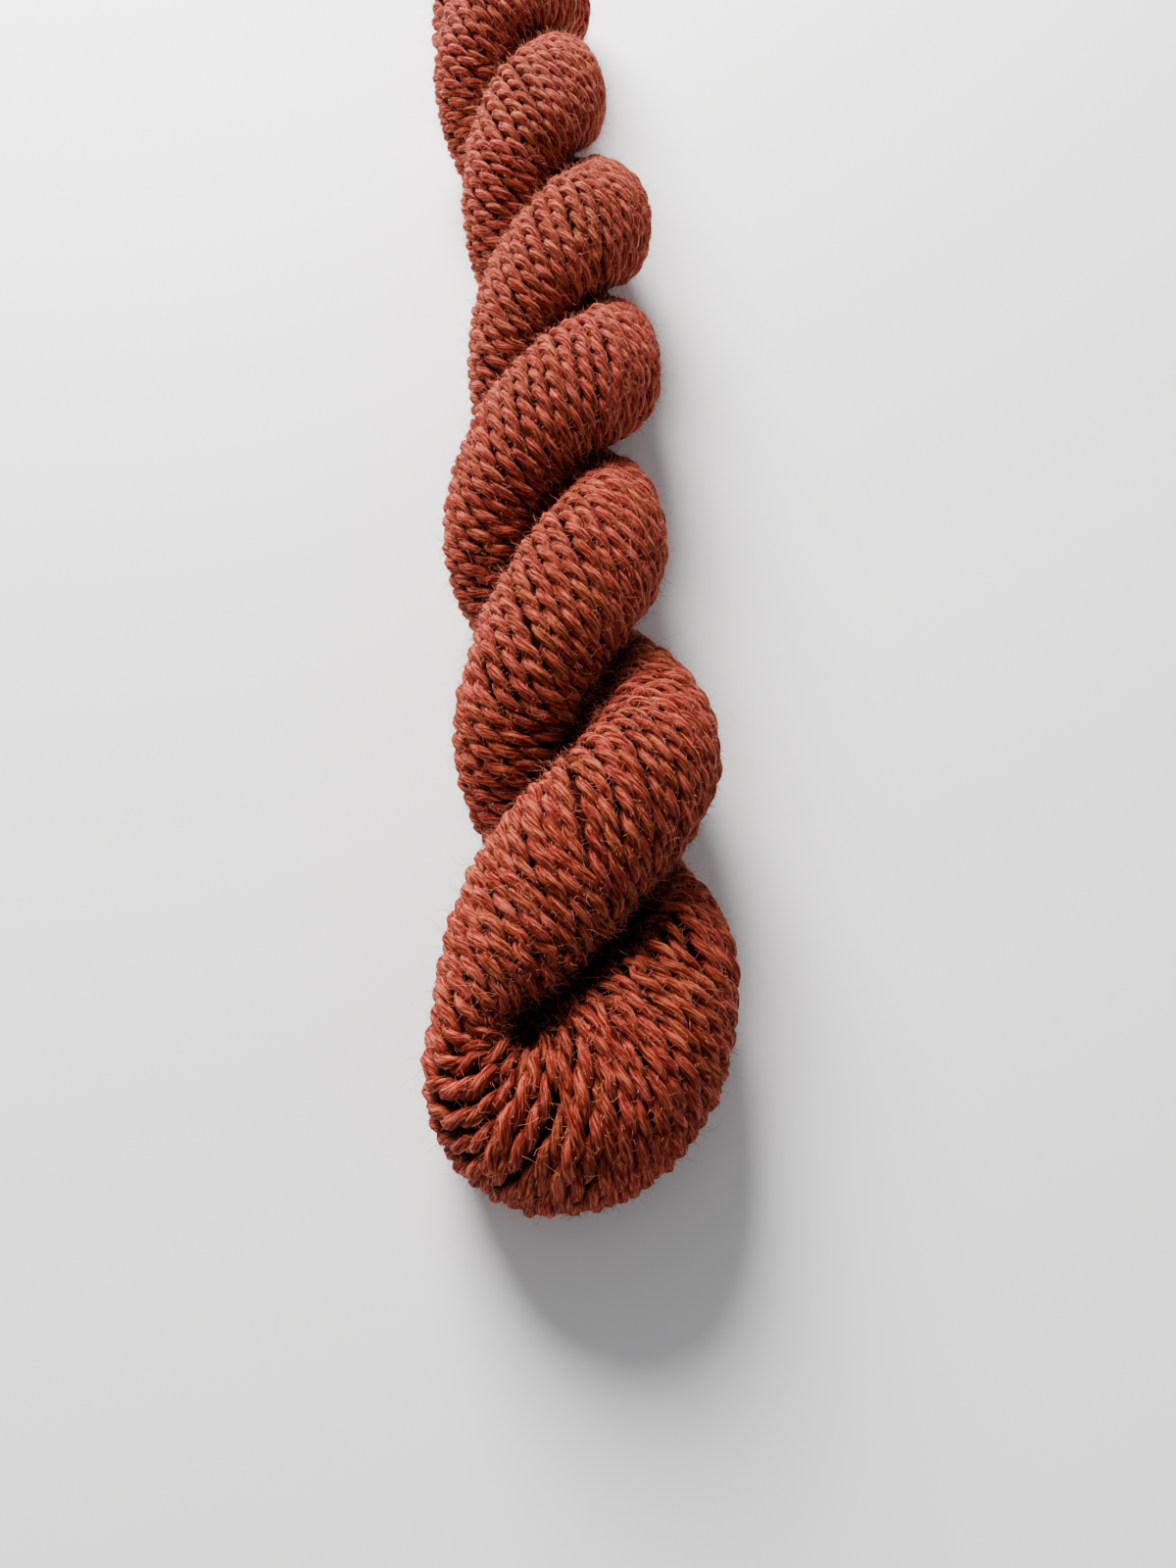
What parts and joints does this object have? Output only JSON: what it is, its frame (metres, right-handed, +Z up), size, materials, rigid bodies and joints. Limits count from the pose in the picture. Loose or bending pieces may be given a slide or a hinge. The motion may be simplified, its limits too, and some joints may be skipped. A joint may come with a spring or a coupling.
{
  "type": "hank of yarn",
  "caption": "Twisted hank of plied yarn: two thick plies wound round each other, with a rounded fold at each end, lying flat.",
  "frame": {"origin": "on the surface the hank lies on, under the middle of its box", "axes": "+Y along the hank from its near fold to its far one, +Z up, +X to the right as seen from the near fold"},
  "size_m": [0.0787, 0.3971, 0.0474],
  "materials": {
    "yarn": "rust-coloured two-strand yarn, heathered and fuzzy, matt with a soft sheen"
  },
  "bodies": {
    "root": {"hank": "yarn"}
  },
  "joints": []
}
